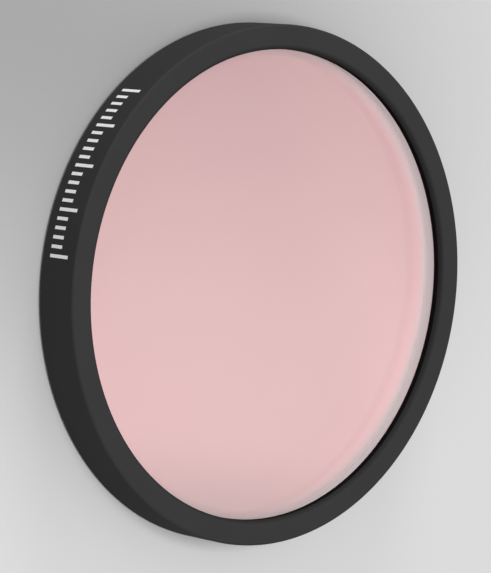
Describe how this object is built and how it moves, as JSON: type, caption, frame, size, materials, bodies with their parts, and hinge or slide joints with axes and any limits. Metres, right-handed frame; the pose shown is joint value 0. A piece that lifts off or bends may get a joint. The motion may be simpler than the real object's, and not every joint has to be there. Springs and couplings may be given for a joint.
{
  "type": "optical bandpass filter",
  "caption": "Mounted round bandpass filter: a pink coated glass disc in a thin black cell, held from the back by a slotted threaded ring.",
  "frame": {"origin": "centre of the cell's back face, on the optical axis", "axes": "+Z along the optical axis, out of the front face with the lip; the retaining ring is at -Z; X and Y lie in the back face"},
  "size_m": [0.05, 0.05, 0.005],
  "materials": {
    "black_anodised": "satin black anodised",
    "coated_glass": "polished, pink interference coating, ground edge",
    "white_marking": "white printed marks"
  },
  "bodies": {
    "root": {"filter_cell": "black_anodised", "filter_glass": "coated_glass", "retaining_ring": "black_anodised"}
  },
  "joints": []
}
